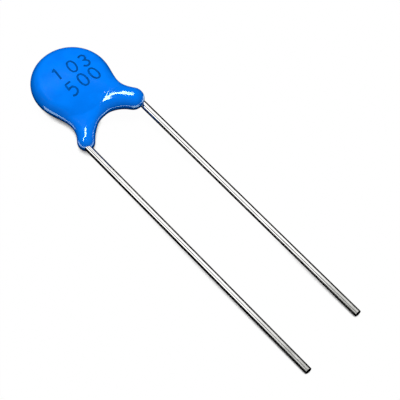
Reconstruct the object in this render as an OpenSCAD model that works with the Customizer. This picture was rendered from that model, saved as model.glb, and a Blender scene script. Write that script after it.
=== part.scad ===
// Radial-lead ceramic disc capacitor, lying on its back face as it comes to rest.
// A bare ceramic disc has a fired silver electrode on each face. One wire is soldered
// to each electrode, and the whole head is dipped in epoxy, which runs down the splayed
// ends of the wires as two legs. Millimetres, +Z up, leads along -Y.

/* [Ceramic disc] */
// Diameter of the bare ceramic disc
ceramic_d = 4.6; // [3.6:0.1:5.4]
// Thickness of the bare ceramic disc
ceramic_t = 0.5; // [0.3:0.05:0.5]

/* [Electrodes] */
// Width of the bare ceramic ring outside each electrode
electrode_margin = 0.25; // [0.15:0.05:0.5]
// Thickness of the fired silver
electrode_t = 0.03; // [0.02:0.01:0.06]

/* [Leads] */
// Diameter of the tinned wire
wire_d = 0.5; // [0.4:0.05:0.6]
// Distance between the two wires at their bends
lead_pitch = 4.8; // [4.2:0.1:5.8]
// Length of the front lead from its bend to its cut end
front_lead_len = 21.3; // [8:0.1:30]
// Length of the back lead from its bend to its cut end
back_lead_len = 22.3; // [8:0.1:30]
// Angle by which each lead spreads outwards
lead_spread = 0.5; // [0:0.1:1.5]
// Distance of the bends from the middle of the disc, along the leads
bend_reach = 4.3; // [4:0.1:5]
// Height of the front bend above the middle of the disc, and of the back bend below it
bend_offset = 0.25; // [0:0.05:0.3]
// Radius of the bends, to the middle of the wire
bend_r = 0.9; // [0.4:0.1:0.9]
// Angle between the splayed end of each wire and the line of the leads
leg_angle = 40; // [34:0.5:44]

/* [Solder] */
// Thickness of the solder film between wire and electrode
solder_film = 0.02; // [0.01:0.005:0.03]
// Thickness of the solder round the wire at the thickest place
solder_fillet = 0.09; // [0.07:0.01:0.1]
// Length of the wire that lies flat on the electrode
soldered_len = 1.6; // [1.2:0.1:2]

/* [Epoxy coating] */
// Width of the coating outside the rim of the ceramic
coat_rim = 0.48; // [0.4:0.02:0.8]
// Distance of the middle of the coated disc from the middle of the ceramic, to the back lead's side
coat_shift = 0.06; // [0:0.02:0.14]
// Thickness of the coating over the face of the ceramic, at its rim
coat_face = 0.38; // [0.38:0.02:0.6]
// Rise of the coated face from its rim to its middle
coat_dome = 0.5; // [0.5:0.05:0.7]
// Width of the rounded rim, seen from above
rim_run = 0.64; // [0.4:0.02:0.7]
// Width of the coating round the splayed end of the front wire
front_leg_w = 1.56; // [1.1:0.02:1.7]
// Width of the coating round the splayed end of the back wire
back_leg_w = 1.22; // [1.1:0.02:1.7]
// Height of the middle of the front leg above the middle of the disc
front_leg_height = 0.52; // [0.3:0.02:0.54]
// Depth of the middle of the back leg below the middle of the disc
back_leg_depth = 0.3; // [0.3:0.02:0.54]
// Distance from the front bend back to the middle of the bead at the end of its leg
front_bead_setback = 0.54; // [0.1:0.02:0.6]
// Distance from the back bend back to the middle of the bead at the end of its leg
back_bead_setback = 0.34; // [0.1:0.02:0.4]
// Reach of the fillets between the disc and its legs
leg_blend = 1.75; // [1:0.05:1.9]
// Reach of the web between the two legs
crotch_blend = 1; // [0.6:0.05:1.4]

/* [Hidden] */
$fn = 64;

front = 1;
back = -1;
wire_r = wire_d / 2;
ceramic_r = ceramic_d / 2;
electrode_top = ceramic_t / 2 + electrode_t;
// Height of the wire's axis over the electrode's face, from the middle of the disc
wire_z = electrode_top + solder_film + wire_r;
coat_r = ceramic_r + coat_rim;
coat_half = ceramic_t / 2 + coat_face;
crown = coat_half + coat_dome;

// --- Wires ---------------------------------------------------------------------------
// Each wire is a line of four points: its cut end, the bend where it turns in towards
// the disc, the bend where it has climbed onto the electrode, and its soldered end.

// The wires reach full height just outside the ceramic's edge
edge_gap = 0.1;
climb_r = ceramic_r + edge_gap;
leg_dir = [-sin(leg_angle), cos(leg_angle)];
bend_at = [lead_pitch / 2, -bend_reach];
leg_along = -(bend_at * leg_dir);
climb_run = leg_along - sqrt(pow(leg_along, 2) - bend_at * bend_at + pow(climb_r, 2));

// Point along the splayed end of the front wire, seen from above
function leg_point(run, z) = [bend_at.x + run * leg_dir.x, bend_at.y + run * leg_dir.y, z];
function lead_end(len) = [
    bend_at.x + len * sin(lead_spread), bend_at.y - len * cos(lead_spread), 0
];
// The back wire is the front one turned half a turn about the line of the leads
function on_side(p, side) = [side * p.x, p.y, side * p.z];
function wire_points(len, side) = [
    for (p = [lead_end(len), leg_point(0, bend_offset), leg_point(climb_run, wire_z),
              leg_point(climb_run + soldered_len, wire_z)]) on_side(p, side)
];
front_wire = wire_points(front_lead_len, front);
back_wire = wire_points(back_lead_len, back);

// A bend is a hair thicker than the straight wire and laps over both of its stretches
bend_swell = 0.005;
bend_lap = 2;

function unit(v) = v / norm(v);
function turn_between(u, v) = acos(min(1, u * v));
// Length that a bend takes from each of the two straight stretches that it joins
function setback(u, v) = bend_r * tan(turn_between(u, v) / 2);

// Turns +Z to the given direction
module aim(direction) {
    rotate([0, acos(direction.z / norm(direction)), atan2(direction.y, direction.x)])
        children();
}

module rod(a, b) {
    translate(a) aim(b - a) cylinder(r = wire_r, h = norm(b - a));
}

// Round bend at a corner, from direction u to direction v
module elbow(corner, u, v) {
    turn = turn_between(u, v);
    centre = corner + unit(v - u) * bend_r / cos(turn / 2);
    outward = unit(corner - setback(u, v) * u - centre);
    normal = cross(outward, u);
    multmatrix([
        [outward.x, u.x, normal.x, centre.x],
        [outward.y, u.y, normal.y, centre.y],
        [outward.z, u.z, normal.z, centre.z]
    ]) rotate([0, 0, -bend_lap]) rotate_extrude(angle = turn + 2 * bend_lap)
        translate([bend_r, 0]) circle(r = wire_r + bend_swell);
}

// Wire through the given points, with a round bend at each inner one
module wire(points) {
    last = len(points) - 1;
    dirs = [for (i = [0 : last - 1]) unit(points[i + 1] - points[i])];
    for (i = [0 : last - 1]) {
        trim_start = i == 0 ? 0 : setback(dirs[i - 1], dirs[i]);
        trim_end = i == last - 1 ? 0 : setback(dirs[i], dirs[i + 1]);
        rod(points[i] + trim_start * dirs[i], points[i + 1] - trim_end * dirs[i]);
    }
    for (i = [1 : last - 1]) elbow(points[i], dirs[i - 1], dirs[i]);
}

// --- Coating -------------------------------------------------------------------------
// Seen from above, the outline is where a smooth union of the disc and its two legs is
// zero. Fields are distances: negative inside, positive outside. Both faces turn over to
// the outline in an even rounded rim.

function blend(a, b, reach) =
    let (share = max(0, min(1, 0.5 + 0.5 * (b - a) / reach)))
    b * (1 - share) + a * share - reach * share * (1 - share);

function disc_field(x, y) = norm([x + coat_shift, y]) - coat_r;

// A leg runs from the middle of its bead to the edge of the ceramic
function bead_at(setback) = bend_at + setback * leg_dir;
leg_root = bend_at + climb_run * leg_dir;
function leg_field(p, setback, r) =
    let (foot = bead_at(setback), line = leg_root - foot, d = p - foot,
         share = max(0, min(1, d * line / (line * line))))
    norm(d - share * line) - r;

// The back leg is placed as the front one is, mirrored about the line of the leads
function outline_field(x, y) =
    blend(disc_field(x, y),
          blend(leg_field([x, y], front_bead_setback, front_leg_w / 2),
                leg_field([-x, y], back_bead_setback, back_leg_w / 2), crotch_blend),
          leg_blend);

// Height of the middle of the coating: level over the disc, up along the front leg and
// down along the back leg, with an eased change between them
rise_start = 0.2;
rise_run = 3.2;
rise_side = 1.5;
function eased(share) = let (s = max(0, min(1, share))) s * s * (3 - 2 * s);
function mid_z(x, y) =
    eased((-y - rise_start) / rise_run)
    * (x > 0 ? front_leg_height : back_leg_depth)
    * (2 * eased((x / rise_side + 1) / 2) - 1);

// Height of the coating's face above or below a point inside the outline
function face_z(x, y, side) =
    let (depth = max(0, min(1, -outline_field(x, y) / rim_run)),
         half = coat_half + coat_dome * max(0, 1 - pow(norm([x + coat_shift, y]) / coat_r, 2)))
    mid_z(x, y) + side * half * sqrt(depth * (2 - depth));

// Distance of the outline from the middle of the disc along a ray, by halving
function outline_radius(ray, low, high, steps) =
    let (middle = (low + high) / 2)
    steps == 0 ? middle
    : outline_field(middle * ray.x, middle * ray.y) < 0
      ? outline_radius(ray, middle, high, steps - 1)
      : outline_radius(ray, low, middle, steps - 1);

halving = 15;
// Every ray meets the outline between these distances
near = coat_r / 2;
far = norm(bend_at) + max(front_leg_w, back_leg_w);

// Rays go round from the line between the legs. They are closer together at the legs.
leg_rays = 46;
disc_rays = 26;
leg_sector = 57;
half_turn = concat(
    [for (i = [0 : leg_rays - 1]) i * leg_sector / leg_rays],
    [for (i = [0 : disc_rays]) leg_sector + i * (180 - leg_sector) / disc_rays]
);
last_ray = len(half_turn) - 1;
ray_turns = concat(half_turn, [for (i = [last_ray - 1 : -1 : 1]) -half_turn[i]]);
rays = len(ray_turns);
// Rings close up towards the rim, where the surface turns over
rings = 13;
function ring_share(j) = sin(90 * j / rings);

module epoxy_skin() {
    spokes = [
        for (turn = ray_turns)
            let (ray = [sin(turn), -cos(turn)]) ray * outline_radius(ray, near, far, halving)
    ];
    function ring(j, side) = [
        for (spoke = spokes)
            let (p = spoke * ring_share(j)) [p.x, p.y, face_z(p.x, p.y, side)]
    ];
    rim = [for (p = spokes) [p.x, p.y, mid_z(p.x, p.y)]];
    points = concat(
        [[0, 0, face_z(0, 0, front)]],
        [for (j = [1 : rings - 1]) each ring(j, front)],
        rim,
        [for (j = [rings - 1 : -1 : 1]) each ring(j, back)],
        [[0, 0, face_z(0, 0, back)]]
    );
    loops = 2 * rings - 1;
    last_point = len(points) - 1;
    function at(loop, i) = 1 + loop * rays + i % rays;
    function apart(m, n) = norm(points[m] - points[n]);
    // Each patch of four points is split along its shorter diagonal
    function patch(a, b, c, d) =
        apart(b, d) < apart(a, c) ? [[a, b, d], [b, c, d]] : [[a, b, c], [a, c, d]];
    faces = concat(
        [for (i = [0 : rays - 1]) [0, at(0, i + 1), at(0, i)]],
        [for (j = [0 : loops - 2], i = [0 : rays - 1])
            each patch(at(j, i), at(j, i + 1), at(j + 1, i + 1), at(j + 1, i))],
        [for (i = [0 : rays - 1]) [last_point, at(loops - 1, i), at(loops - 1, i + 1)]]
    );
    polyhedron(points, faces, convexity = 4);
}

// --- Rest ----------------------------------------------------------------------------
// The part rests on its domed back face and on the end of its longer lead, so it leans
// until both touch. The back face touches between its middle and the back leg's bead, so
// its height is sampled there.

samples = 20;
sampled_side = coat_r / 3;
back_face = [
    for (i = [0 : samples], j = [-samples : samples])
        let (p = bead_at(back_bead_setback) * i / samples,
             q = p + [leg_dir.y, -leg_dir.x] * sampled_side * j / samples)
        [q.y, face_z(-q.x, q.y, back)]
];
function height_after(y, z, lean) = y * sin(lean) + z * cos(lean);
function back_low(lean) = min([for (p = back_face) height_after(p[0], p[1], lean)]);
function end_low(lean) = min([
    for (w = [front_wire, back_wire])
        height_after(w[0].y, w[0].z, lean) - wire_r * cos(lean)
]);
function rest_lean(low, high, steps) =
    let (middle = (low + high) / 2)
    steps == 0 ? middle
    : back_low(middle) < end_low(middle)
      ? rest_lean(middle, high, steps - 1)
      : rest_lean(low, middle, steps - 1);
steepest = 20;
lean = rest_lean(0, steepest, halving);
lift = -back_low(lean);
// The origin is under the middle of the whole part
end_y = min(front_wire[0].y, back_wire[0].y) * cos(lean) - wire_r * sin(lean);
head_y = (coat_r - rim_run) * cos(lean) + norm([rim_run * cos(lean), coat_half * sin(lean)]);
shift_y = -(end_y + head_y) / 2;
front_reach = max(front_wire[0].x + wire_r, bead_at(front_bead_setback).x + front_leg_w / 2);
back_reach = max(coat_r + coat_shift, bead_at(back_bead_setback).x + back_leg_w / 2,
                 wire_r - back_wire[0].x);
shift_x = (back_reach - max(front_reach, coat_r - coat_shift)) / 2;

module at_rest() {
    translate([shift_x, shift_y, lift]) rotate([lean, 0, 0]) children();
}

// --- Pieces --------------------------------------------------------------------------

module ceramic_body() {
    cylinder(r = ceramic_r, h = ceramic_t, center = true);
}

// Draws something made for the front face on the given face
module face(side) {
    rotate([0, side == front ? 0 : 180, 0]) children();
}

module electrode_body(side) {
    face(side) translate([0, 0, ceramic_t / 2])
        cylinder(r = ceramic_r - electrode_margin, h = electrode_t);
}

// Solder round the flat run of the wire, thickest at the middle and cut off flat by
// the electrode. It covers the wire's end and stops short of the climb.
solder_cover = 0.15;
solder_thin = 0.06;
module solder_outer(side) {
    run = front_wire[3] - front_wire[2];
    length = soldered_len + solder_cover;
    steps = 8;
    outline = [for (i = [0 : steps]) [
        wire_r + solder_thin + (solder_fillet - solder_thin) * sin(180 * i / steps),
        length * i / steps
    ]];
    face(side) intersection() {
        translate(front_wire[2]) aim(run) rotate_extrude()
            polygon(concat([[0, 0]], outline, [[0, length]]));
        translate([-ceramic_r, -ceramic_r, electrode_top]) cube([ceramic_d, ceramic_d, crown]);
    }
}

module inside_coat() {
    ceramic_body();
    for (side = [front, back]) {
        electrode_body(side);
        solder_outer(side);
    }
    wire(front_wire);
    wire(back_wire);
}

module coating() {
    color("dodgerblue") at_rest() difference() {
        epoxy_skin();
        inside_coat();
    }
}

module ceramic_disc() {
    color("tan") at_rest() ceramic_body();
}

module electrode(side) {
    color("gainsboro") at_rest() electrode_body(side);
}

module solder(side, points) {
    color("darkgray") at_rest() difference() {
        solder_outer(side);
        wire(points);
    }
}

module lead(points) {
    color("silver") at_rest() wire(points);
}

coating();
ceramic_disc();
electrode(front);  // front_electrode
electrode(back);  // back_electrode
solder(front, front_wire);  // front_solder
solder(back, back_wire);  // back_solder
lead(front_wire);  // front_lead
lead(back_wire);  // back_lead
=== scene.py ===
"""Looks for a small ceramic disc capacitor that lies on its back face.

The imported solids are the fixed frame. The epoxy coat and the two tinned wires are
modelled again with a finer surface of the same form, the value code is stamped on the
front face, and the pieces sealed inside keep their solids and get their own finishes.
Lengths are in metres unless a name says otherwise.
"""

from __future__ import annotations

import logging
import math
from dataclasses import dataclass, field
from enum import Enum

import bpy
import numpy as np
from mathutils import Matrix, Vector, noise


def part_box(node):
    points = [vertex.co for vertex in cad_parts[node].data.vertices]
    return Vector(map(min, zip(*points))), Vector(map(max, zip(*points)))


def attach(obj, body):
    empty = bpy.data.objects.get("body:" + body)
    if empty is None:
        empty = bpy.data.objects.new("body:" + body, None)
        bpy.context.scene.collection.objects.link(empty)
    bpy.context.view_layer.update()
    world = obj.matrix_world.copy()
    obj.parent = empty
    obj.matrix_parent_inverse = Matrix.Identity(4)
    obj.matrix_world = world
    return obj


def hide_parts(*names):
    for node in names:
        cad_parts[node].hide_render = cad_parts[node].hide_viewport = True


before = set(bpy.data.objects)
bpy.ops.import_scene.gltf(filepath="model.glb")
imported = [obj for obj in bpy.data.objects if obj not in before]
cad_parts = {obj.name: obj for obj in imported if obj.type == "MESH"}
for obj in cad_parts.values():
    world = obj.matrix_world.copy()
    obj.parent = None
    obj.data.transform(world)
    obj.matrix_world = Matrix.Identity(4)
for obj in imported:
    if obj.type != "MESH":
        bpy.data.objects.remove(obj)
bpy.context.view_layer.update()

LOG = logging.getLogger("disc_capacitor")
MM = 0.001
BODY = "root"

Obj = bpy.types.Object


class Side(Enum):
    """The two faces of the disc, each with its own electrode, wire and leg."""

    FRONT = 1
    BACK = -1

    @property
    def word(self) -> str:
        """Name that the solids of this side start with."""
        return self.name.lower()


# --- Mesh helpers --------------------------------------------------------------------


def select_only(*pieces: Obj) -> None:
    """Selects these objects alone and makes the last of them active.

    Args:
        pieces: The objects to select.
    """
    bpy.ops.object.select_all(action="DESELECT")
    for piece in pieces:
        piece.select_set(True)
    bpy.context.view_layer.objects.active = pieces[-1]


def edit(piece: Obj) -> None:
    """Opens one object in edit mode."""
    select_only(piece)
    bpy.ops.object.mode_set(mode="EDIT")


def leave_edit() -> None:
    """Goes back to object mode."""
    bpy.ops.object.mode_set(mode="OBJECT")


def settle_place(piece: Obj) -> None:
    """Puts an object's place, turn and scale into its mesh."""
    select_only(piece)
    bpy.ops.object.transform_apply(location=True, rotation=True, scale=True)


def join(pieces: list[Obj], name: str) -> Obj:
    """Joins objects into the last one.

    Args:
        pieces: The objects to join.
        name: Name for the joined object.

    Returns:
        The joined object.
    """
    select_only(*pieces)
    bpy.ops.object.join()
    joined = bpy.context.object
    joined.name = joined.data.name = name
    return joined


def copy_of(piece: Obj, name: str) -> Obj:
    """Makes a merged copy of a solid, free of the body it rides on.

    Args:
        piece: The object to copy.
        name: Name for the copy.

    Returns:
        The copy, with its doubled corners merged.
    """
    twin = bpy.data.objects.new(name, piece.data.copy())
    bpy.context.scene.collection.objects.link(twin)
    edit(twin)
    bpy.ops.mesh.select_all(action="SELECT")
    bpy.ops.mesh.remove_doubles(threshold=1e-7)
    leave_edit()
    return twin


def points_of(piece: Obj) -> np.ndarray:
    """Corners of a mesh as an array of three columns."""
    flat = np.empty(len(piece.data.vertices) * 3)
    piece.data.vertices.foreach_get("co", flat)
    return flat.reshape(-1, 3)


def move_points(piece: Obj, points: np.ndarray) -> None:
    """Moves the corners of a mesh.

    Args:
        piece: The object whose mesh changes.
        points: New places, one row a corner.
    """
    piece.data.vertices.foreach_set("co", points.astype(np.float32).ravel())
    piece.data.update()


def apply_modifier(piece: Obj, kind: str, **settings: object) -> None:
    """Adds a modifier with these settings and applies it.

    Args:
        piece: The object to change.
        kind: The modifier's type.
        settings: Values for the modifier's properties.
    """
    select_only(piece)
    modifier = piece.modifiers.new(kind.lower(), kind)
    for key, value in settings.items():
        setattr(modifier, key, value)
    bpy.ops.object.modifier_apply(modifier=modifier.name)


def close_up(piece: Obj) -> None:
    """Merges doubled corners and turns every face outwards."""
    edit(piece)
    bpy.ops.mesh.select_all(action="SELECT")
    bpy.ops.mesh.remove_doubles(threshold=1e-7)
    bpy.ops.mesh.normals_make_consistent(inside=False)
    leave_edit()


# --- Where the part lies -------------------------------------------------------------


@dataclass(frozen=True)
class Rest:
    """The lie of the part: its own upright frame, leant over onto what it rests on."""

    centre: Vector
    lean: float

    @classmethod
    def of_frame(cls, ceramic_d: float, ceramic_t: float) -> "Rest":
        """Reads the lie from the box of the ceramic disc.

        Args:
            ceramic_d: Diameter of the disc.
            ceramic_t: Thickness of the disc.

        Returns:
            The lie of the part.
        """
        low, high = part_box("ceramic_disc")
        height = high.z - low.z
        lean = math.asin(height / math.hypot(ceramic_d, ceramic_t)) - math.atan2(
            ceramic_t, ceramic_d
        )
        return cls((low + high) / 2, lean)

    @property
    def matrix(self) -> Matrix:
        """Takes a place in the part's own frame to where it rests."""
        return Matrix.Translation(self.centre) @ Matrix.Rotation(self.lean, 4, "X")

    def place(self, piece: Obj) -> None:
        """Moves a piece that was made upright to where it rests."""
        piece.data.transform(self.matrix)
        piece.data.update()


# --- Node graphs ---------------------------------------------------------------------


@dataclass
class Graph:
    """A node tree under construction."""

    tree: bpy.types.NodeTree

    def add(self, kind: str, **values: object) -> bpy.types.Node:
        """Adds a node.

        Args:
            kind: The node's type, without its ShaderNode prefix.
            values: Properties of the node, or values for inputs of that name, with
                underscores for spaces.

        Returns:
            The node.
        """
        prefix = "" if kind.startswith("Node") else "ShaderNode"
        node = self.tree.nodes.new(prefix + kind)
        for key, value in values.items():
            title = key.replace("_", " ")
            if hasattr(node, key):
                setattr(node, key, value)
            else:
                self.feed(node.inputs[title], value)
        return node

    def feed(self, socket: bpy.types.NodeSocket, value: object) -> None:
        """Links a socket to another, or sets its value.

        Args:
            socket: The input to feed.
            value: An output socket, or a plain value.
        """
        if isinstance(value, bpy.types.NodeSocket):
            self.tree.links.new(value, socket)
        else:
            socket.default_value = value

    def millimetres(self, stretch: Vector = Vector((1, 1, 1))) -> bpy.types.NodeSocket:
        """Object coordinates in millimetres.

        Args:
            stretch: Scale of the pattern along each axis.

        Returns:
            The coordinates.
        """
        coords = self.add("TexCoord").outputs["Object"]
        mapping = self.add("Mapping", Vector=coords)
        mapping.inputs["Scale"].default_value = stretch / MM
        return mapping.outputs["Vector"]

    def noise(
        self, where: bpy.types.NodeSocket, scale: float, detail: float = 2.0
    ) -> bpy.types.NodeSocket:
        """Smooth noise from 0 to 1.

        Args:
            where: Coordinates of the pattern.
            scale: Number of patches a millimetre.
            detail: Number of finer layers.

        Returns:
            The noise.
        """
        node = self.add("TexNoise", Vector=where, Scale=scale, Detail=detail)
        return node.outputs["Fac"]

    def ramp(
        self, value: bpy.types.NodeSocket, low: float, high: float, start: float, end: float
    ) -> bpy.types.NodeSocket:
        """Maps a value from one span to another, held at its ends.

        Args:
            value: The value to map.
            low: Value that gives start.
            high: Value that gives end.
            start: Result at low.
            end: Result at high.

        Returns:
            The mapped value.
        """
        node = self.add("MapRange", interpolation_type="SMOOTHSTEP")
        for title, number in (
            ("From Min", low),
            ("From Max", high),
            ("To Min", start),
            ("To Max", end),
        ):
            node.inputs[title].default_value = number
        self.feed(node.inputs["Value"], value)
        return node.outputs["Result"]

    def math(self, operation: str, a: object, b: object = 0.0) -> bpy.types.NodeSocket:
        """Joins two values.

        Args:
            operation: The Math node's operation.
            a: First value or socket.
            b: Second value or socket.

        Returns:
            The result.
        """
        node = self.add("Math", operation=operation)
        self.feed(node.inputs[0], a)
        self.feed(node.inputs[1], b)
        return node.outputs[0]

    def mix(self, share: object, a: object, b: object) -> bpy.types.NodeSocket:
        """Mixes two colours.

        Args:
            share: How much of the second colour shows.
            a: First colour or socket.
            b: Second colour or socket.

        Returns:
            The mixed colour.
        """
        node = self.add("Mix", data_type="RGBA")
        colours = [s for s in node.inputs if s.type == "RGBA"]
        self.feed(node.inputs[0], share)
        self.feed(colours[0], a)
        self.feed(colours[1], b)
        return [s for s in node.outputs if s.type == "RGBA"][0]


Colour = tuple[float, float, float, float]


def rgb(red: float, green: float, blue: float) -> Colour:
    """An opaque colour."""
    return (red, green, blue, 1.0)


def new_group(
    name: str, inputs: dict[str, float], outputs: dict[str, str]
) -> tuple[Graph, bpy.types.Node, bpy.types.Node]:
    """Starts a shader node group.

    Args:
        name: The group's name.
        inputs: Its number inputs, with their first values.
        outputs: Its outputs, with their socket types.

    Returns:
        The graph, its input node and its output node.
    """
    tree = bpy.data.node_groups.new(name, "ShaderNodeTree")
    for title, number in inputs.items():
        socket = tree.interface.new_socket(title, in_out="INPUT", socket_type="NodeSocketFloat")
        socket.default_value = number
    for title, kind in outputs.items():
        tree.interface.new_socket(title, in_out="OUTPUT", socket_type=kind)
    graph = Graph(tree)
    return graph, graph.add("NodeGroupInput"), graph.add("NodeGroupOutput")


def grain_group() -> bpy.types.NodeTree:
    """Two layers of smooth unevenness, for dipped, fired and cast surfaces.

    Returns:
        A group with a Height from 0 to 1 and a Patches mask.
    """
    graph, given, out = new_group(
        "grain",
        {"Scale": 1.0, "Share of fine": 0.3},
        {"Height": "NodeSocketFloat", "Patches": "NodeSocketFloat"},
    )
    where = graph.millimetres()
    coarse = graph.add("TexNoise", Vector=where, Scale=given.outputs["Scale"], Detail=2.0)
    finer = graph.math("MULTIPLY", given.outputs["Scale"], 6.0)
    fine = graph.add("TexNoise", Vector=where, Scale=finer, Detail=3.0)
    shared = graph.add("Mix", data_type="FLOAT")
    graph.feed(shared.inputs[0], given.outputs["Share of fine"])
    graph.feed(shared.inputs[2], coarse.outputs["Fac"])
    graph.feed(shared.inputs[3], fine.outputs["Fac"])
    graph.feed(out.inputs["Height"], shared.outputs[0])
    graph.feed(out.inputs["Patches"], graph.ramp(coarse.outputs["Fac"], 0.4, 0.65, 0.0, 1.0))
    return graph.tree


def specks_group() -> bpy.types.NodeTree:
    """Small separate specks, for fired and printed surfaces.

    Returns:
        A group with a Mask that is 1 on the specks.
    """
    graph, given, out = new_group(
        "specks", {"Scale": 6.0, "Size": 0.12}, {"Mask": "NodeSocketFloat"}
    )
    cells = graph.add("TexVoronoi", Vector=graph.millimetres(), Scale=given.outputs["Scale"])
    edge = graph.math("SUBTRACT", given.outputs["Size"], cells.outputs["Distance"])
    graph.feed(out.inputs["Mask"], graph.ramp(edge, 0.0, 0.06, 0.0, 1.0))
    return graph.tree


@dataclass
class SharedGroups:
    """The node groups that several finishes place."""

    grain: bpy.types.NodeTree = field(default_factory=grain_group)
    specks: bpy.types.NodeTree = field(default_factory=specks_group)


def place_group(graph: Graph, tree: bpy.types.NodeTree, **values: float) -> bpy.types.Node:
    """Places a shared group in a material.

    Args:
        graph: The material's graph.
        tree: The group.
        values: Values for its inputs, with underscores for spaces.

    Returns:
        The group's node.
    """
    node = graph.add("Group")
    node.node_tree = tree
    for key, value in values.items():
        node.inputs[key.replace("_", " ")].default_value = value
    return node


def new_material(name: str) -> tuple[bpy.types.Material, Graph, bpy.types.Node]:
    """Starts a material.

    Args:
        name: The material's name.

    Returns:
        The material, its graph and its Principled shader.
    """
    material = bpy.data.materials.new(name)
    material.use_nodes = True
    graph = Graph(material.node_tree)
    return material, graph, material.node_tree.nodes["Principled BSDF"]


def bump(graph: Graph, height: bpy.types.NodeSocket, depth: float) -> bpy.types.NodeSocket:
    """Normals of an uneven surface.

    Args:
        graph: The material's graph.
        height: The unevenness, from 0 to 1.
        depth: Depth of the unevenness.

    Returns:
        The normals.
    """
    node = graph.add("Bump", Height=height, Strength=1.0)
    node.inputs["Distance"].default_value = depth
    return node.outputs["Normal"]


# --- Finishes ------------------------------------------------------------------------


@dataclass(frozen=True)
class DippedEpoxy:
    """Blue dipped epoxy: glossy on its rim and legs, almost without gloss on its face."""

    blue: Colour = rgb(0.0, 0.205, 0.95)
    deep_blue: Colour = rgb(0.0, 0.185, 0.88)
    roughness: float = 0.08
    face_roughness: float = 0.3
    specular: float = 0.9
    face_specular: float = 0.03
    dull_spots: tuple[tuple[float, float, float], ...] = (
        (0, 0, 2.6), (-1.5, -1.0, 2.45), (1.45, -1.8, 0.95),
    )
    spot_edge: float = 0.1
    rim_turn: tuple[float, float] = (0.6, 0.8)
    ripple: float = 0.0012 * MM

    def material(self, groups: SharedGroups, middle: Vector) -> bpy.types.Material:
        """Builds the finish.

        Args:
            groups: The shared node groups.
            middle: Middle of the disc.

        Returns:
            The material.
        """
        material, graph, shader = new_material("dipped_epoxy")
        grain = place_group(graph, groups.grain, Scale=0.9, Share_of_fine=0.12)
        graph.feed(
            shader.inputs["Base Color"],
            graph.mix(grain.outputs["Patches"], self.blue, self.deep_blue),
        )
        off_face = self.off_face(graph, middle)
        uneven = graph.ramp(graph.noise(graph.millimetres(), 3.0), 0.3, 0.7, 0.85, 1.25)
        rough = graph.ramp(off_face, 0.0, 1.0, self.face_roughness, self.roughness)
        graph.feed(shader.inputs["Roughness"], graph.math("MULTIPLY", rough, uneven))
        graph.feed(
            shader.inputs["Specular IOR Level"],
            graph.ramp(off_face, 0.0, 1.0, self.face_specular, self.specular),
        )
        graph.feed(shader.inputs["Normal"], bump(graph, grain.outputs["Height"], self.ripple))
        return material

    def off_face(self, graph: Graph, middle: Vector) -> bpy.types.NodeSocket:
        """Mask that is 0 on the dull face and 1 on the legs and on the turned-over rim.

        Args:
            graph: The material's graph.
            middle: Middle of the disc.

        Returns:
            The mask.
        """
        coords = graph.add("TexCoord").outputs
        outside = None
        for x, y, r in self.dull_spots:
            apart = graph.add("VectorMath", operation="SUBTRACT")
            graph.feed(apart.inputs[0], coords["Object"])
            apart.inputs[1].default_value = middle + Vector((x, y, 0)) * MM
            flat = graph.add("VectorMath", operation="MULTIPLY")
            graph.feed(flat.inputs[0], apart.outputs["Vector"])
            flat.inputs[1].default_value = (1, 1, 0)
            reach = graph.add("VectorMath", operation="LENGTH")
            graph.feed(reach.inputs[0], flat.outputs["Vector"])
            near, far = (r - self.spot_edge) * MM, (r + self.spot_edge) * MM
            beyond = graph.ramp(reach.outputs["Value"], near, far, 0.0, 1.0)
            outside = beyond if outside is None else graph.math("MINIMUM", outside, beyond)
        upward = graph.add("SeparateXYZ", Vector=coords["Normal"]).outputs["Z"]
        return graph.math("MAXIMUM", outside, graph.ramp(upward, *self.rim_turn, 1.0, 0.0))


@dataclass(frozen=True)
class TinnedCopper:
    """Bright tin over a drawn wire, dull in random patches, and darker and rougher towards the
    cut ends, where the darkening is painted shade.
    """

    bright: Colour = rgb(0.93, 0.925, 0.91)
    # Dull tin colour for the random patches, and also the painted shade towards the cut ends
    dull: Colour = rgb(0.42, 0.42, 0.40)
    roughness: float = 0.05
    dull_roughness: float = 0.3
    # Where the painted shade towards the cut ends starts and where it is full, in millimetres
    # along Y
    end_shade_from: float = -6.0
    end_shade_to: float = -14.6

    def material(self, groups: SharedGroups) -> bpy.types.Material:
        """Builds the finish.

        Args:
            groups: The shared node groups. Not used.

        Returns:
            The material.
        """
        material, graph, shader = new_material("tinned_copper")
        lengthwise = graph.millimetres(Vector((1, 0.045, 1)))
        draw_lines = graph.noise(lengthwise, 5.0, 3.0)
        along = graph.add("SeparateXYZ", Vector=graph.millimetres()).outputs["Y"]
        # Painted shade: the tin darkens towards the cut ends, where the wires lie on the table
        towards_end = graph.ramp(along, self.end_shade_from, self.end_shade_to, 0.0, 1.0)
        blotches = graph.noise(graph.millimetres(Vector((1, 0.35, 1))), 1.6, 4.0)
        painted_end_shade = graph.math(
            "MULTIPLY", towards_end, graph.ramp(blotches, 0.25, 0.6, 0.45, 1.0)
        )
        patches = graph.ramp(blotches, 0.62, 0.72, 0.0, 0.35)
        share = graph.math("MAXIMUM", painted_end_shade, patches)
        graph.feed(shader.inputs["Base Color"], graph.mix(share, self.bright, self.dull))
        shader.inputs["Metallic"].default_value = 1.0
        graph.feed(
            shader.inputs["Roughness"],
            graph.ramp(share, 0.0, 1.0, self.roughness, self.dull_roughness),
        )
        graph.feed(shader.inputs["Normal"], bump(graph, draw_lines, 0.008 * MM))
        return material


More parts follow.
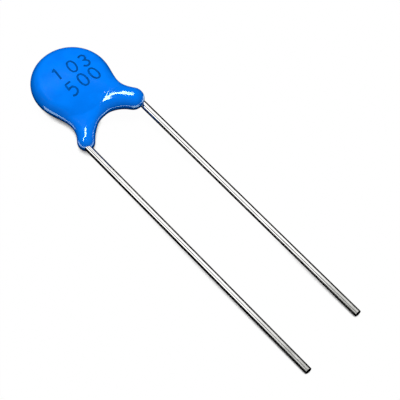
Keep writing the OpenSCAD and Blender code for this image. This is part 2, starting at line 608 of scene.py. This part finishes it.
@dataclass(frozen=True)
class StampInk:
    """Thin dark-blue ink, uneven where the stamp pressed lightly."""

    ink: Colour = rgb(0.002, 0.065, 0.27)
    thin_ink: Colour = rgb(0.0, 0.095, 0.43)

    def material(self, groups: SharedGroups) -> bpy.types.Material:
        """Builds the finish.

        Args:
            groups: The shared node groups.

        Returns:
            The material.
        """
        material, graph, shader = new_material("stamp_ink")
        wear = graph.noise(graph.millimetres(), 3.5, 4.0)
        graph.feed(
            shader.inputs["Base Color"],
            graph.mix(graph.ramp(wear, 0.35, 0.65, 0.0, 1.0), self.ink, self.thin_ink),
        )
        graph.feed(shader.inputs["Roughness"], graph.ramp(wear, 0.3, 0.7, 0.3, 0.45))
        shader.inputs["Specular IOR Level"].default_value = 0.03
        specks = place_group(graph, groups.specks, Scale=14.0, Size=0.2)
        graph.feed(
            shader.inputs["Normal"], bump(graph, specks.outputs["Mask"], 0.001 * MM)
        )
        return material


@dataclass(frozen=True)
class MattFinish:
    """A matt or satin finish with grain and specks, for the sealed pieces."""

    name: str
    colour: Colour
    patch_colour: Colour
    speck_colour: Colour
    metallic: float
    roughness: float
    grain: float
    depth: float

    def material(self, groups: SharedGroups) -> bpy.types.Material:
        """Builds the finish.

        Args:
            groups: The shared node groups.

        Returns:
            The material.
        """
        material, graph, shader = new_material(self.name)
        grain = place_group(graph, groups.grain, Scale=self.grain, Share_of_fine=0.4)
        specks = place_group(graph, groups.specks, Scale=self.grain * 3, Size=0.15)
        patched = graph.mix(grain.outputs["Patches"], self.colour, self.patch_colour)
        graph.feed(
            shader.inputs["Base Color"],
            graph.mix(specks.outputs["Mask"], patched, self.speck_colour),
        )
        graph.feed(
            shader.inputs["Roughness"],
            graph.ramp(
                grain.outputs["Height"], 0.3, 0.7, self.roughness * 0.85, self.roughness * 1.15
            ),
        )
        shader.inputs["Metallic"].default_value = self.metallic
        graph.feed(shader.inputs["Normal"], bump(graph, grain.outputs["Height"], self.depth))
        return material


FIRED_CERAMIC = MattFinish(
    "fired_ceramic", rgb(0.62, 0.50, 0.36), rgb(0.54, 0.42, 0.30), rgb(0.30, 0.22, 0.15),
    0.0, 0.55, 3.0, 0.01 * MM,
)
FIRED_SILVER = MattFinish(
    "fired_silver", rgb(0.78, 0.77, 0.74), rgb(0.66, 0.65, 0.62), rgb(0.48, 0.46, 0.42),
    1.0, 0.48, 4.0, 0.006 * MM,
)
SOLDER_JOINT = MattFinish(
    "solder_joint", rgb(0.60, 0.60, 0.60), rgb(0.46, 0.46, 0.47), rgb(0.25, 0.23, 0.20),
    1.0, 0.36, 2.2, 0.014 * MM,
)


# --- The part's form -----------------------------------------------------------------


def smooth_union(a: np.ndarray, b: np.ndarray, reach: float) -> np.ndarray:
    """Joins two distance fields with a fillet.

    Args:
        a: First field.
        b: Second field.
        reach: Reach of the fillet.

    Returns:
        The joined field.
    """
    share = np.clip(0.5 + 0.5 * (b - a) / reach, 0, 1)
    return b * (1 - share) + a * share - reach * share * (1 - share)


@dataclass
class LeadRoute:
    """The way that a wire takes, in the part's own upright frame."""

    wire_d: float = 0.5 * MM
    lead_pitch: float = 4.8 * MM
    bend_reach: float = 4.3 * MM
    bend_offset: float = 0.25 * MM
    bend_r: float = 0.9 * MM
    leg_angle: float = math.radians(40)
    lead_spread: float = math.radians(0.5)
    solder_film: float = 0.02 * MM
    electrode_t: float = 0.03 * MM
    soldered_len: float = 1.6 * MM
    edge_gap: float = 0.1 * MM
    ceramic_d: float = 4.6 * MM
    ceramic_t: float = 0.5 * MM

    @property
    def wire_z(self) -> float:
        """Height of the wire's axis where it lies on its electrode."""
        return self.ceramic_t / 2 + self.electrode_t + self.solder_film + self.wire_d / 2

    @property
    def climb_run(self) -> float:
        """Length of the splayed wire from its bend to the edge of the ceramic, in plan."""
        bend = Vector((self.lead_pitch / 2, -self.bend_reach))
        leg = Vector((-math.sin(self.leg_angle), math.cos(self.leg_angle)))
        along = -bend.dot(leg)
        edge = self.ceramic_d / 2 + self.edge_gap
        return along - math.sqrt(along**2 - bend.dot(bend) + edge**2)

    def leg_point(self, run: float, height: float) -> Vector:
        """Place along the splayed end of the front wire.

        Args:
            run: Distance from the bend, in plan.
            height: Height over the middle of the disc.

        Returns:
            The place.
        """
        return Vector(
            (
                self.lead_pitch / 2 - run * math.sin(self.leg_angle),
                -self.bend_reach + run * math.cos(self.leg_angle),
                height,
            )
        )

    def points(self, side: Side, length: float) -> list[Vector]:
        """Corners of the wire, from its cut end to its soldered end.

        Args:
            side: The face that the wire is soldered to.
            length: Length from the bend to the cut end.

        Returns:
            The four corners.
        """
        end = Vector(
            (
                self.lead_pitch / 2 + length * math.sin(self.lead_spread),
                -self.bend_reach - length * math.cos(self.lead_spread),
                0,
            )
        )
        front = [
            end,
            self.leg_point(0, self.bend_offset),
            self.leg_point(self.climb_run, self.wire_z),
            self.leg_point(self.climb_run + self.soldered_len, self.wire_z),
        ]
        flip = side.value
        return [Vector((flip * p.x, p.y, flip * p.z)) for p in front]


@dataclass
class TinnedLead:
    """One tinned wire, with its straight run, its two bends and its soldered end."""

    side: Side
    length: float
    route: LeadRoute
    sides: int = 40
    ring_step: float = 0.25 * MM
    bend_steps: int = 10

    @property
    def node(self) -> str:
        """Name of the solid that this wire stands for."""
        return f"{self.side.word}_lead"

    def build(self, rest: Rest) -> Obj:
        """Models the wire from a ring that is extruded and spun along its way.

        Args:
            rest: Where the part lies.

        Returns:
            The wire.
        """
        points = self.route.points(self.side, self.length)
        ways = [(b - a).normalized() for a, b in zip(points, points[1:])]
        backs = [self.setback(u, v) for u, v in zip(ways, ways[1:])]
        bpy.ops.object.select_all(action="DESELECT")
        bpy.ops.mesh.primitive_circle_add(
            vertices=self.sides,
            radius=self.route.wire_d / 2,
            fill_type="NGON",
            location=points[0],
            rotation=ways[0].to_track_quat("Z", "Y").to_euler(),
        )
        wire = bpy.context.object
        wire.name = wire.data.name = f"{self.side.word}_tinned_lead"
        settle_place(wire)
        edit(wire)
        bpy.ops.mesh.select_all(action="SELECT")
        for i, way in enumerate(ways):
            run = (points[i + 1] - points[i]).length
            run -= backs[i - 1] if i else 0
            run -= backs[i] if i < len(backs) else 0
            rings = max(2, round(run / self.ring_step))
            for _ in range(rings):
                bpy.ops.mesh.extrude_region_move(
                    TRANSFORM_OT_translate={"value": way * run / rings}
                )
            if i < len(backs):
                self.spin_bend(points[i + 1], way, ways[i + 1])
        leave_edit()
        close_up(wire)
        rest.place(wire)
        select_only(wire)
        bpy.ops.object.shade_smooth_by_angle(angle=math.radians(40))
        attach(wire, BODY)
        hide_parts(self.node)
        return wire

    def setback(self, u: Vector, v: Vector) -> float:
        """Length that a bend takes from each straight stretch it joins."""
        return self.route.bend_r * math.tan(u.angle(v) / 2)

    def spin_bend(self, corner: Vector, u: Vector, v: Vector) -> None:
        """Spins the open end of the wire round a bend.

        Args:
            corner: Where the two straight stretches would meet.
            u: Way of the wire before the bend.
            v: Way of the wire after it.
        """
        turn = u.angle(v)
        inward = (v - u).normalized()
        centre = corner + inward * self.route.bend_r / math.cos(turn / 2)
        bpy.ops.mesh.spin(
            steps=self.bend_steps, angle=turn, center=centre, axis=v.cross(u).normalized()
        )


@dataclass(frozen=True)
class CoatLeg:
    """One leg of the coat, seen from above."""

    side: Side
    width: float
    setback: float
    height: float

    def ends(self, route: LeadRoute) -> tuple[np.ndarray, np.ndarray]:
        """Middle of the bead and root of the leg, on the front wire's side.

        Args:
            route: The way of the wires.

        Returns:
            The two places in plan.
        """
        foot, root = (route.leg_point(run, 0) for run in (self.setback, route.climb_run))
        return np.array(foot.xy), np.array(root.xy)

    def field(self, x: np.ndarray, y: np.ndarray, route: LeadRoute) -> np.ndarray:
        """Distance in plan to the leg's outline.

        Args:
            x: Places across the part.
            y: Places along it.
            route: The way of the wires.

        Returns:
            The distances.
        """
        foot, root = self.ends(route)
        line, d = root - foot, np.stack([self.side.value * x, y], axis=1) - foot
        share = np.clip(d @ line / (line @ line), 0, 1)
        return np.linalg.norm(d - share[:, None] * line, axis=1) - self.width / 2


def eased(share: np.ndarray) -> np.ndarray:
    """Runs smoothly from 0 to 1 while its share does, and is held beyond."""
    held = np.clip(share, 0, 1)
    return held * held * (3 - 2 * held)


@dataclass
class EpoxyCoat:
    """The dipped coat: a domed disc that runs down both wires as two legs."""

    route: LeadRoute
    coat_rim: float = 0.48 * MM
    coat_shift: float = 0.06 * MM
    coat_face: float = 0.38 * MM
    coat_dome: float = 0.5 * MM
    rim_run: float = 0.64 * MM
    legs: tuple[CoatLeg, CoatLeg] = (
        CoatLeg(Side.FRONT, 1.56 * MM, 0.54 * MM, 0.52 * MM),
        CoatLeg(Side.BACK, 1.22 * MM, 0.34 * MM, 0.3 * MM),
    )
    leg_blend: float = 1.75 * MM
    crotch_blend: float = 1.0 * MM
    rise_start: float = 0.2 * MM
    rise_run: float = 3.2 * MM
    rise_side: float = 1.5 * MM
    mesh_step: float = 0.06 * MM
    settle_rounds: int = 8
    ripple: float = 0.0015 * MM
    ripple_size: float = 0.9 * MM

    def __post_init__(self) -> None:
        """Works out the sizes that follow from the given ones."""
        self.coat_r = self.route.ceramic_d / 2 + self.coat_rim
        self.coat_half = self.route.ceramic_t / 2 + self.coat_face

    def outline_field(self, x: np.ndarray, y: np.ndarray) -> np.ndarray:
        """Distance in plan to the coat's outline, negative inside it."""
        disc = np.hypot(x + self.coat_shift, y) - self.coat_r
        front, back = (leg.field(x, y, self.route) for leg in self.legs)
        both = smooth_union(front, back, self.crotch_blend)
        return smooth_union(disc, both, self.leg_blend)

    def mid_height(self, x: np.ndarray, y: np.ndarray) -> np.ndarray:
        """Height of the middle of the coat: up on the front leg, down on the back leg."""
        front, back = self.legs
        down = eased((-y - self.rise_start) / self.rise_run)
        across = 2 * eased((x / self.rise_side + 1) / 2) - 1
        return down * across * np.where(x > 0, front.height, back.height)

    def half_height(self, x: np.ndarray, y: np.ndarray) -> np.ndarray:
        """Half the thickness of the coat away from its rim."""
        r = np.hypot(x + self.coat_shift, y)
        return self.coat_half + self.coat_dome * np.maximum(0, 1 - (r / self.coat_r) ** 2)

    def coat_field(self, p: np.ndarray) -> np.ndarray:
        """Distance to the coat's skin, in the part's own upright frame.

        Args:
            p: Places, one row each.

        Returns:
            The distances, negative inside the coat.
        """
        x, y, z = p.T
        outward = np.maximum(self.rim_run + self.outline_field(x, y), 0) / self.rim_run
        upward = (z - self.mid_height(x, y)) / self.half_height(x, y)
        return (np.hypot(outward, upward) - 1) * self.rim_run

    def slope(self, p: np.ndarray) -> np.ndarray:
        """Way in which the coat's field grows fastest at each place."""
        step = 1e-7
        columns = [
            (self.coat_field(p + step * axis) - self.coat_field(p - step * axis)) / (2 * step)
            for axis in np.eye(3)
        ]
        return np.stack(columns, axis=1)

    def settle(self, points: np.ndarray) -> np.ndarray:
        """Moves points onto the coat's skin.

        Args:
            points: Places near the skin.

        Returns:
            Places on the skin.
        """
        for _ in range(self.settle_rounds):
            way = self.slope(points)
            steepness = np.maximum((way**2).sum(axis=1), 0.05)
            points = points - way * (self.coat_field(points) / steepness)[:, None]
        return points

    def face_height(self, x: float, y: float) -> float:
        """Height of the front face over a place in plan."""
        at = np.array([x]), np.array([y])
        depth = np.clip(-self.outline_field(*at) / self.rim_run, 0, 1)
        top = self.mid_height(*at) + self.half_height(*at) * np.sqrt(depth * (2 - depth))
        return float(top[0])

    def block_out(self) -> Obj:
        """Roughs out the coat from a squashed ball and two rods."""
        bpy.ops.object.select_all(action="DESELECT")
        bpy.ops.mesh.primitive_uv_sphere_add(segments=48, ring_count=24, radius=self.coat_r)
        disc = bpy.context.object
        edit(disc)
        bpy.ops.mesh.select_all(action="SELECT")
        flatten = (self.coat_half + self.coat_dome) / self.coat_r
        bpy.ops.transform.resize(value=(1, 1, flatten))
        leave_edit()
        rough = [disc]
        for leg in self.legs:
            foot, root = (
                Vector((leg.side.value * x, y, leg.side.value * leg.height))
                for x, y in leg.ends(self.route)
            )
            way = root - foot
            bpy.ops.object.select_all(action="DESELECT")
            bpy.ops.mesh.primitive_cylinder_add(
                vertices=24,
                radius=leg.width / 2,
                depth=way.length + leg.width / 2,
                location=(foot + root) / 2,
                rotation=way.to_track_quat("Z", "Y").to_euler(),
            )
            rod = bpy.context.object
            edit(rod)
            bpy.ops.mesh.select_all(action="SELECT")
            bpy.ops.mesh.bevel(offset=leg.width / 5, segments=3, affect="EDGES")
            leave_edit()
            settle_place(rod)
            rough.append(rod)
        return join(rough, "epoxy_coat")

    def skin(self) -> Obj:
        """Models the outside of the coat, upright and closed."""
        skin = self.block_out()
        for step in (2 * self.mesh_step, self.mesh_step):
            apply_modifier(skin, "REMESH", mode="VOXEL", voxel_size=step)
            move_points(skin, self.settle(points_of(skin)))
        apply_modifier(skin, "SMOOTH", factor=0.5, iterations=4)
        points = self.settle(points_of(skin))
        seed = Vector((3.1, 7.7, 1.9))
        lift = np.array([noise.noise(Vector(p) / self.ripple_size + seed) for p in points])
        way = self.slope(points)
        way /= np.linalg.norm(way, axis=1)[:, None]
        move_points(skin, points + way * (lift * self.ripple)[:, None])
        return skin

    def build(self, rest: Rest, inside: list[Obj]) -> Obj:
        """Models the coat and hollows it round what it holds.

        Args:
            rest: Where the part lies.
            inside: The wires and solids that the coat is moulded round.

        Returns:
            The coat.
        """
        coat = self.skin()
        rest.place(coat)
        for piece in inside:
            core = copy_of(piece, "core")
            apply_modifier(coat, "BOOLEAN", operation="DIFFERENCE", object=core, solver="EXACT")
            bpy.data.objects.remove(core)
        select_only(coat)
        bpy.ops.object.shade_smooth_by_angle(angle=math.radians(35))
        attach(coat, BODY)
        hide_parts("coating")
        return coat


# Each sign is a few strokes on a grid one unit high and 0.62 wide
SIGNS: dict[str, list[list[tuple[float, float]]]] = {
    "1": [[(0.14, 0.80), (0.34, 1.0), (0.34, 0.0)]],
    "0": [
        [
            (0.30, 1.0), (0.14, 0.93), (0.04, 0.72), (0.02, 0.5), (0.04, 0.28), (0.14, 0.07),
            (0.30, 0.0), (0.46, 0.07), (0.56, 0.28), (0.58, 0.5), (0.56, 0.72), (0.46, 0.93),
            (0.30, 1.0),
        ]
    ],
    "3": [
        [
            (0.05, 0.86), (0.18, 0.98), (0.36, 0.99), (0.50, 0.88), (0.50, 0.68), (0.38, 0.56),
            (0.22, 0.54), (0.42, 0.50), (0.56, 0.36), (0.56, 0.18), (0.42, 0.03), (0.20, 0.0),
            (0.03, 0.12),
        ]
    ],
    "5": [
        [
            (0.54, 1.0), (0.12, 1.0), (0.08, 0.56), (0.26, 0.63), (0.44, 0.60), (0.56, 0.44),
            (0.57, 0.24), (0.46, 0.06), (0.24, 0.0), (0.04, 0.08),
        ]
    ],
}


@dataclass
class ValueMark:
    """The value code, stamped in two lines on the front face."""

    coat: EpoxyCoat
    height: float = 0.98 * MM
    stroke: float = 0.14 * MM
    proud: float = 0.003 * MM
    lines: tuple[tuple[str, tuple[tuple[float, float], ...], float], ...] = (
        ("103", ((-0.75, 0.65), (0.41, 0.46), (1.37, 0.35)), -8.0),
        ("500", ((-0.70, -0.87), (0.31, -0.82), (1.21, -0.89)), 0.0),
    )

    def build(self, rest: Rest) -> Obj:
        """Models the signs as thin raised strokes that follow the face.

        Args:
            rest: Where the part lies.

        Returns:
            The mark.
        """
        strokes = []
        for signs, places, turn in self.lines:
            for sign, place in zip(signs, places):
                strokes += self.sign(sign, Vector((*place, 0)) * MM, math.radians(turn))
        mark = join(strokes, "value_mark")
        points = points_of(mark)
        ground = np.array([self.coat.face_height(x, y) for x, y, _ in points])
        points[:, 2] = ground + points[:, 2] / (self.stroke / 2) * self.proud
        move_points(mark, points)
        close_up(mark)
        rest.place(mark)
        select_only(mark)
        bpy.ops.object.shade_smooth()
        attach(mark, BODY)
        return mark

    def sign(self, sign: str, place: Vector, turn: float) -> list[Obj]:
        """Draws one sign as round strokes.

        Args:
            sign: The sign.
            place: Its middle.
            turn: Its turn.

        Returns:
            One object a stroke.
        """
        lay = Matrix.Translation(place) @ Matrix.Rotation(turn, 4, "Z")
        made = []
        for path in SIGNS[sign]:
            curve = bpy.data.curves.new("stroke", "CURVE")
            curve.dimensions = "3D"
            curve.bevel_depth = self.stroke / 2
            curve.bevel_resolution = 3
            curve.use_fill_caps = True
            spline = curve.splines.new("POLY")
            corners = self.fine_path(path)
            spline.points.add(len(corners) - 1)
            for point, (x, y) in zip(spline.points, corners):
                spot = lay @ Vector(((x - 0.31) * self.height, (y - 0.5) * self.height, 0))
                point.co = (*spot, 1)
            stroke = bpy.data.objects.new("stroke", curve)
            bpy.context.scene.collection.objects.link(stroke)
            select_only(stroke)
            bpy.ops.object.convert(target="MESH")
            made.append(bpy.context.object)
        return made

    @staticmethod
    def fine_path(path: list[tuple[float, float]]) -> list[tuple[float, float]]:
        """Adds points between the corners of a stroke, so that it can follow the face.

        Args:
            path: The corners.

        Returns:
            The corners with points between them.
        """
        fine: list[tuple[float, float]] = []
        for (ax, ay), (bx, by) in zip(path, path[1:]):
            parts = max(1, math.ceil(math.hypot(bx - ax, by - ay) / 0.12))
            fine += [
                (ax + (bx - ax) * i / parts, ay + (by - ay) * i / parts) for i in range(parts)
            ]
        return fine + [path[-1]]


@dataclass
class SealedElement:
    """The ceramic disc, its electrodes and its solder, sealed inside the coat."""

    finishes: dict[str, MattFinish] = field(
        default_factory=lambda: {
            "ceramic_disc": FIRED_CERAMIC,
            "front_electrode": FIRED_SILVER,
            "back_electrode": FIRED_SILVER,
            "front_solder": SOLDER_JOINT,
            "back_solder": SOLDER_JOINT,
        }
    )

    def pieces(self) -> list[Obj]:
        """The solids, in the order in which they are dressed."""
        return [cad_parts[name] for name in self.finishes]

    def dress(self, groups: SharedGroups) -> None:
        """Gives each solid its finish.

        Args:
            groups: The shared node groups.
        """
        made: dict[str, bpy.types.Material] = {}
        for name, finish in self.finishes.items():
            if finish.name not in made:
                made[finish.name] = finish.material(groups)
            dress(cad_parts[name], made[finish.name])


def dress(piece: Obj, material: bpy.types.Material) -> None:
    """Gives a piece one material all over."""
    piece.data.materials.clear()
    piece.data.materials.append(material)


# --- Studio --------------------------------------------------------------------------


@dataclass
class Studio:
    """White table under an overhead lamp, with the glowing cards that the pieces mirror."""

    rest: Rest
    coat: Obj
    leads: list[Obj]
    form: EpoxyCoat
    azimuth: float = math.radians(41.0)
    elevation: float = math.radians(59.53)
    distance: float = 206.3 * MM
    target: Vector = field(default_factory=lambda: Vector((0.481, -12.526, 0.0)) * MM)
    lens: float = 282.37
    floor_size: float = 0.8
    sky: float = 0.2
    lamp_power: float = 3.4
    lamp_height: float = 0.6
    contact: float = 0.6 * MM
    shadow_edge: tuple[float, float] = (0.4, 0.62)
    table_white: float = 0.98
    room: float = 0.02
    table_hub: tuple[float, float] = (0.0, -1.5 * MM)
    table_turns: tuple[int, int, int] = (-200, -24, 5)
    table_reach: float = 20 * MM
    table_halvings: int = 20
    table_near: float = 1.8 * MM
    table_far: float = 6.5 * MM
    table_glow: float = 3.2
    panels: tuple[tuple[float, float, float], ...] = ((-66, -33, 1.35), (-13, 50, 1.2))
    panel_span: tuple[float, float] = (-0.3, 2.5)
    panel_rows: int = 9
    strip_glow: float = 18.0
    strip_width: float = 0.075
    strip_height: float = 0.15
    strip_path: tuple[tuple[float, float], ...] = (
        (-0.70, 0.12), (-0.50, 0.42), (-0.35, 0.57), (-0.12, 0.62), (0.08, 0.58),
        (0.25, 0.50), (0.41, 0.45),
    )

    def build(self) -> None:
        """Sets up the floor, the light and the camera."""
        self.world()
        self.floor()
        self.lamp()
        self.lit_table()
        self.strip()
        self.wire_panels()
        self.camera()

    def camera(self) -> None:
        """Places the camera, in the part's own frame and then where that rests."""
        across = Vector((math.cos(self.azimuth), -math.sin(self.azimuth), 0))
        ahead = Vector(
            (
                math.sin(self.azimuth) * math.cos(self.elevation),
                math.cos(self.azimuth) * math.cos(self.elevation),
                -math.sin(self.elevation),
            )
        )
        above = across.cross(ahead)
        turn = Matrix((across, above, -ahead)).transposed().to_4x4()
        data = bpy.data.cameras.new("camera")
        data.lens, data.sensor_width = self.lens, 36.0
        data.clip_start, data.clip_end = 10 * MM, 10.0
        camera = bpy.data.objects.new("camera", data)
        bpy.context.scene.collection.objects.link(camera)
        place = Matrix.Translation(self.target - ahead * self.distance)
        camera.matrix_world = self.rest.matrix @ place @ turn
        bpy.context.scene.camera = camera

    def world(self) -> None:
        """White for the camera, faint for matt surfaces and a dark room for glossy ones."""
        world = bpy.data.worlds.new("studio")
        bpy.context.scene.world = world
        world.use_nodes = True
        graph = Graph(world.node_tree)
        background = world.node_tree.nodes["Background"]
        background.inputs["Color"].default_value = rgb(1, 1, 1)
        paths = graph.add("LightPath").outputs
        plain = graph.math("MAXIMUM", paths["Is Camera Ray"], paths["Is Transmission Ray"])
        dim = graph.ramp(paths["Is Glossy Ray"], 0.0, 1.0, self.sky, self.room)
        graph.feed(background.inputs["Strength"], graph.math("MAXIMUM", dim, plain))

    def floor(self) -> None:
        """A white table top that keeps the shadow close to the part."""
        bpy.ops.object.select_all(action="DESELECT")
        bpy.ops.mesh.primitive_plane_add(size=self.floor_size)
        floor = bpy.context.object
        floor.name = "table_top"
        material, graph, shader = new_material("white_table")
        shader.inputs["Base Color"].default_value = rgb(0.9, 0.9, 0.9)
        shader.inputs["Roughness"].default_value = 0.8
        shader.inputs["Specular IOR Level"].default_value = 0.0
        paths = graph.add("LightPath").outputs
        plain = graph.math("MAXIMUM", paths["Is Camera Ray"], paths["Is Transmission Ray"])
        near = graph.add("AmbientOcclusion", samples=8)
        near.inputs["Distance"].default_value = self.contact
        bright = graph.add("Emission", Color=rgb(1, 1, 1), Strength=1.0)
        seen = graph.add("MixShader")
        lit = graph.ramp(near.outputs["AO"], *self.shadow_edge, 0.0, self.table_white)
        graph.feed(seen.inputs[0], lit)
        graph.feed(seen.inputs[1], shader.outputs[0])
        graph.feed(seen.inputs[2], bright.outputs[0])
        unseen = graph.add("Emission", Color=rgb(0, 0, 0), Strength=0.0)
        mixer = graph.add("MixShader")
        graph.feed(mixer.inputs[0], plain)
        graph.feed(mixer.inputs[1], unseen.outputs[0])
        graph.feed(mixer.inputs[2], seen.outputs[0])
        out = material.node_tree.nodes["Material Output"]
        graph.feed(out.inputs["Surface"], mixer.outputs[0])
        dress(floor, material)

    def lamp(self) -> None:
        """A soft lamp straight overhead."""
        data = bpy.data.lights.new("overhead", "AREA")
        data.shape, data.size, data.energy = "SQUARE", self.lamp_height / 3, self.lamp_power
        lamp = bpy.data.objects.new("overhead", data)
        bpy.context.scene.collection.objects.link(lamp)
        lamp.location = self.rest.centre + Vector((0, 0, self.lamp_height))
        lamp.visible_glossy = False

    def lit_table(self) -> None:
        """The bright part of the table that the rim mirrors, clear of the part's shadow."""
        hub = np.array(self.table_hub)
        rows = []
        for turn in np.radians(np.arange(*self.table_turns)):
            way = np.array([math.cos(turn), math.sin(turn)])
            pair = []
            for gap in (self.table_near, self.table_far):
                low, high = 0.0, self.table_reach
                for _ in range(self.table_halvings):
                    middle = (low + high) / 2
                    at = hub + middle * way
                    inside = self.form.outline_field(at[:1], at[1:])[0] < gap
                    low, high = (middle, high) if inside else (low, middle)
                x, y = hub + low * way
                spot = self.rest.matrix @ Vector((x, y, 0))
                pair.append(Vector((spot.x, spot.y, 0.01 * MM)))
            rows.append(tuple(pair))
        self.ribbon("lit_table", rows, rgb(0.7, 1, 1), self.table_glow, [self.coat])

    def strip(self) -> None:
        """A curved strip of light that the legs of the coat mirror."""
        height = self.strip_height
        spots = [Vector((x, y, 1)) * height for x, y in self.strip_path]
        rows = []
        for i, spot in enumerate(spots):
            way = spots[min(i + 1, len(spots) - 1)] - spots[max(i - 1, 0)]
            across = way.cross(Vector((0, 0, 1))).normalized() * self.strip_width * height
            middle = self.rest.centre + spot
            rows.append((middle - across, middle + across))
        self.ribbon("strip_softbox", rows, rgb(0.7, 1, 1), self.strip_glow, [self.coat])

    def wire_panels(self) -> None:
        """Two white panels, curved round the line of the wires, that they mirror."""
        for i, (low, high, glow) in enumerate(self.panels):
            rows = []
            for turn in np.radians(np.linspace(low, high, self.panel_rows)):
                spot = self.rest.centre + Vector((math.sin(turn), 0, math.cos(turn)))
                rows.append(tuple(spot + Vector((0, y, 0)) for y in self.panel_span))
            self.ribbon(f"wire_panel_{i}", rows, rgb(1, 1, 1), glow, self.leads)

    @staticmethod
    def ribbon(
        name: str,
        rows: list[tuple[Vector, Vector]],
        colour: Colour,
        glow: float,
        receivers: list[Obj],
    ) -> None:
        """Adds a glowing ribbon that only glossy rays meet.

        Args:
            name: The ribbon's name.
            rows: Its two edges, as pairs of places.
            colour: Its colour.
            glow: How brightly it glows.
            receivers: The pieces that its light reaches.
        """
        corners = [tuple(spot) for row in rows for spot in row]
        faces = [(2 * i, 2 * i + 1, 2 * i + 3, 2 * i + 2) for i in range(len(rows) - 1)]
        mesh = bpy.data.meshes.new(name)
        mesh.from_pydata(corners, [], faces)
        card = bpy.data.objects.new(name, mesh)
        bpy.context.scene.collection.objects.link(card)
        material, graph, _ = new_material(name)
        shine = graph.add("Emission", Color=colour, Strength=glow)
        out = material.node_tree.nodes["Material Output"]
        graph.feed(out.inputs["Surface"], shine.outputs[0])
        dress(card, material)
        card.visible_camera = card.visible_diffuse = card.visible_shadow = False
        card.visible_transmission = card.visible_volume_scatter = False
        linked = bpy.data.collections.new(f"lit_by_{name}")
        for piece in receivers:
            linked.objects.link(piece)
        card.light_linking.receiver_collection = linked


# --- Assembly ------------------------------------------------------------------------


def main() -> None:
    """Builds and dresses the part, then the studio."""
    logging.basicConfig(level=logging.INFO, format="%(name)s: %(message)s")
    bpy.context.scene.view_settings.view_transform = "Standard"
    groups = SharedGroups()
    route = LeadRoute()
    rest = Rest.of_frame(route.ceramic_d, route.ceramic_t)
    LOG.info("lean %.3f degrees", math.degrees(rest.lean))

    leads = [
        TinnedLead(Side.FRONT, 21.3 * MM, route).build(rest),
        TinnedLead(Side.BACK, 22.3 * MM, route).build(rest),
    ]
    tinned = TinnedCopper().material(groups)
    for lead in leads:
        dress(lead, tinned)
        LOG.info("%s: %d faces", lead.name, len(lead.data.polygons))

    element = SealedElement()
    element.dress(groups)
    form = EpoxyCoat(route)
    coat = form.build(rest, leads + element.pieces())
    dress(coat, DippedEpoxy().material(groups, rest.centre))
    LOG.info("%s: %d faces", coat.name, len(coat.data.polygons))

    mark = ValueMark(form).build(rest)
    dress(mark, StampInk().material(groups))
    LOG.info("%s: %d faces", mark.name, len(mark.data.polygons))

    Studio(rest, coat, leads, form).build()


if __name__ == "__main__":
    main()
